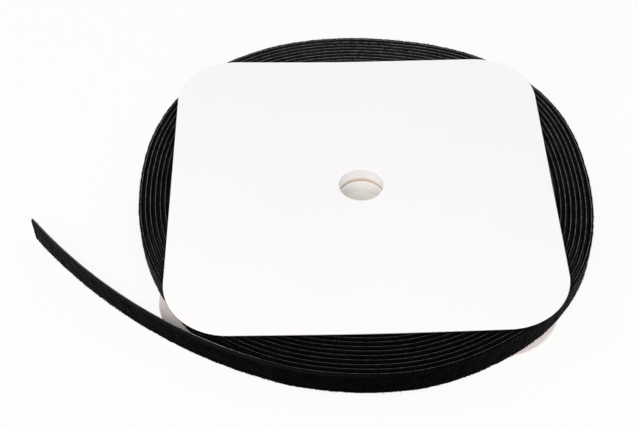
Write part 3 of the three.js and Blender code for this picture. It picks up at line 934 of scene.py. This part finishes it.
def wound_tape(pile, ground, hooks, fibres):
    """The tape on the reel: the hidden inner turns as one plain strip, and the outer turns as three layers,
    with the finest pile on the outermost turn."""
    hidden = wound_route(WOUND_TURNS, TURNS_TO_CORE - CORE_GAP_TURNS, steps_per_turn=96)
    margins = (PACKED.pile_lower, PACKED.pile_upper)
    corner = (PACKED.corner_depth, PACKED.corner_height)
    plain = layer_section(HOOK_TIPS, PILE_FACE, margins, corner, corner_points=3, face_points=1)
    inner_turns = ribbon("inner_turns_tape", hidden, plain, hooks)

    first = wound_route(0, 1, steps_per_turn=1900)
    packed = wound_route(1, SHOWN_TURNS, steps_per_turn=640)
    covered = wound_route(SHOWN_TURNS, WOUND_TURNS, steps_per_turn=180)
    few = {"corner_points": 5, "side_points": 0}
    outer_ground = ribbon("wound_ground_outer", first, ground_section(first, **few), ground)
    packed_ground = ribbon("wound_ground_packed", packed, ground_section(packed, **few), ground)
    covered_ground = ribbon("wound_ground_covered", covered, ground_section(covered, **few), ground)

    face = pile_section(first, corner_points=4, face_points=34)
    edge = pile_section(packed, corner_points=4, face_points=2)
    hidden_edge = pile_section(covered, corner_points=4, face_points=2)
    outer_loops = ribbon("wound_loops_outer", first, face, pile, pile_bumps(first, face, LOOSE_NAP))
    packed_loops = ribbon("wound_loops_packed", packed, edge, pile, pile_bumps(packed, edge, PACKED_NAP))
    covered_loops = ribbon("wound_loops_covered", covered, hidden_edge, pile)

    pressed_in = TURN_PITCH + PILE_FACE + LAP
    margins = (HOOK_MARGIN, HOOK_MARGIN)
    bed = layer_section(HOOK_BACK, pressed_in, margins, HOOK_HOLLOW, corner_points=6, face_points=1,
                        hollow=True)
    shown = wound_route(0, SHOWN_TURNS, steps_per_turn=640)
    shown_hooks = ribbon("wound_hooks", shown, bed, hooks, pile_bumps(shown, bed, HOOK_TANGLE))
    covered_hooks = ribbon("wound_hooks_covered", covered, bed, hooks)

    nap = face_filaments("wound_face_filaments", first, fibres, count=6500, seed=31)
    rim = edge_filaments("wound_rim_filaments", first, fibres, count=3600, upper_share=0.6, seed=34)
    fringe = edge_filaments("packed_edge_filaments", packed, fibres, count=13800, upper_share=1.0, seed=35)

    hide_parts("inner_turns")
    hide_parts("loop_web")
    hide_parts("hook_web")
    slots = {"wound_tape": [inner_turns],
             "hook_weave": [outer_ground, packed_ground, covered_ground, shown_hooks, covered_hooks],
             "loop_pile": [outer_loops, packed_loops, covered_loops, nap, rim, fringe]}
    for slot, pieces in slots.items():
        for piece in pieces:
            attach(piece, "reel")


def free_end(pile, ground, hooks, fibres):
    """The loose end: ground, loop face and hooks in rows, all bending where the tape leaves the roll."""
    route = tail_route()
    section = ground_section(route, corner_points=7, side_points=20)
    band = ribbon("free_end_ground", route, section, ground)
    face = pile_section(route, corner_points=4, face_points=32)
    loops = ribbon("free_end_loops", route, face, pile, pile_bumps(route, face, LOOSE_NAP))
    nap = face_filaments("free_end_face_filaments", route, fibres, count=2200, seed=32)
    rim = edge_filaments("free_end_rim_filaments", route, fibres, count=500, upper_share=0.3, seed=36)
    rows = hook_rows("free_end_hooks", route, hooks, seed=33)
    threads = cut_threads("free_end_cut_threads", route, ground, count=45, seed=37)
    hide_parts("loop_tail")
    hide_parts("hook_tail")

    slots = {"hook_weave": [band, rows, threads], "loop_pile": [loops, nap, rim]}
    for slot, pieces in slots.items():
        for piece in pieces:
            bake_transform(piece)


# Light, floor and camera

def add_lamp(lamp):
    """A soft rectangular lamp that faces the foot of the reel's axis."""
    data = bpy.data.lights.new(lamp.name, "AREA")
    data.shape = "RECTANGLE"
    data.size, data.size_y = lamp.width, lamp.depth
    data.energy = lamp.watts
    piece = bpy.data.objects.new(lamp.name, data)
    piece.location = lamp.place
    piece.rotation_mode = "QUATERNION"
    piece.rotation_quaternion = (-Vector(lamp.place)).to_track_quat("-Z", "Y")
    bpy.context.scene.collection.objects.link(piece)


def white_sky():
    """An even white surround, at full white where the camera or a reflection sees it."""
    world = bpy.data.worlds.new("surround")
    bpy.context.scene.world = world
    world.use_nodes = True
    tree = world.node_tree
    background = tree.nodes["Background"]
    strength = ramp_between(tree, seen_or_reflected(tree), low=0.0, high=1.0, first=SKY_STRENGTH)
    set_sockets(tree, background, Color=(1, 1, 1), Strength=strength)


def pale_floor():
    """A plain white floor. Past the roll most of what the camera sees of it is its own white, so that the
    shadow stays faint; under the roll, as seen through the bore, most of it is the light that reaches it."""
    square = np.array([(-1, -1, 0), (1, -1, 0), (1, 1, 0), (-1, 1, 0)])
    corners = square * FLOOR_SIDE / 2 + (0, 0, FLOOR_HEIGHT)
    material, tree, shader, coordinates = new_material("white_floor")
    set_sockets(tree, shader, Base_Color=(0.8, 0.77, 0.68), Roughness=0.9, Specular_IOR_Level=0.1)
    away = distance_from_origin(tree, coordinates)
    own_white = ramp_between(tree, away, BORE_RADIUS, FLANGE_REACH, *FLOOR_OWN_WHITE)
    glow = tree.nodes.new("ShaderNodeEmission")
    mix = tree.nodes.new("ShaderNodeMixShader")
    set_sockets(tree, mix, Fac=add_math(tree, "MULTIPLY", seen_or_reflected(tree), own_white))
    tree.links.new(shader.outputs[0], mix.inputs[1])
    tree.links.new(glow.outputs[0], mix.inputs[2])
    tree.links.new(mix.outputs[0], tree.nodes["Material Output"].inputs["Surface"])
    mesh = bpy.data.meshes.new("floor")
    mesh.from_pydata(corners.tolist(), [], [[0, 1, 2, 3]])
    mesh.materials.append(material)
    floor = bpy.data.objects.new("floor", mesh)
    bpy.context.scene.collection.objects.link(floor)


def set_camera():
    """The camera at the photograph's viewing angle: back from its target, rolled a little about its axis."""
    back = Vector((0, -math.cos(CAMERA_ELEVATION), math.sin(CAMERA_ELEVATION)))
    right = Vector((1, 0, 0))
    up = back.cross(right)
    c, s = math.cos(CAMERA_ROLL), math.sin(CAMERA_ROLL)
    rolled_right, rolled_up = right * c + up * s, up * c - right * s
    data = bpy.data.cameras.new("camera")
    data.sensor_width = SENSOR_WIDTH_MM
    data.lens = FOCAL_LENGTH_PIXELS / IMAGE_WIDTH * SENSOR_WIDTH_MM
    data.clip_start, data.clip_end = NEAR_CLIP, FAR_CLIP
    camera = bpy.data.objects.new("camera", data)
    turn = Matrix((rolled_right, rolled_up, back)).transposed().to_4x4()
    camera.matrix_world = Matrix.Translation(CAMERA_TARGET + back * CAMERA_DISTANCE) @ turn
    bpy.context.scene.collection.objects.link(camera)
    bpy.context.scene.camera = camera


def build():
    """The whole scene: camera, light and floor, then the reel and the tape."""
    bpy.context.scene.view_settings.view_transform = "Standard"
    set_camera()
    white_sky()
    pale_floor()
    for lamp in LAMPS:
        add_lamp(lamp)

    speckle = fibre_speckle_group()
    pile = black_pile(speckle)
    ground = woven_ground(speckle, woven_threads_group())
    hooks = black_hooks(speckle)
    skin = moulded_skin_group()
    white = white_plastic("white_moulded_plastic", skin, rim=(0.953, 0.935, 0.932))
    # Painted shade tint: the lower half is the same moulding as the upper, but turns pink towards its rim for
    # the tint of the shade on its corners.
    shade_tinted = white_plastic("shade_tinted_moulded_plastic", skin, rim=(0.97, 0.875, 0.855))
    fibres = loose_fibre(speckle)
    free_end(pile, ground, hooks, fibres)
    wound_tape(pile, ground, hooks, fibres)
    reel_half("upper_reel_half", "top_flange", white, flipped=False)
    reel_half("lower_reel_half", "bottom_flange", shade_tinted, flipped=True)
    board_core("core_tube_board", kraft_board(speckle))


build()
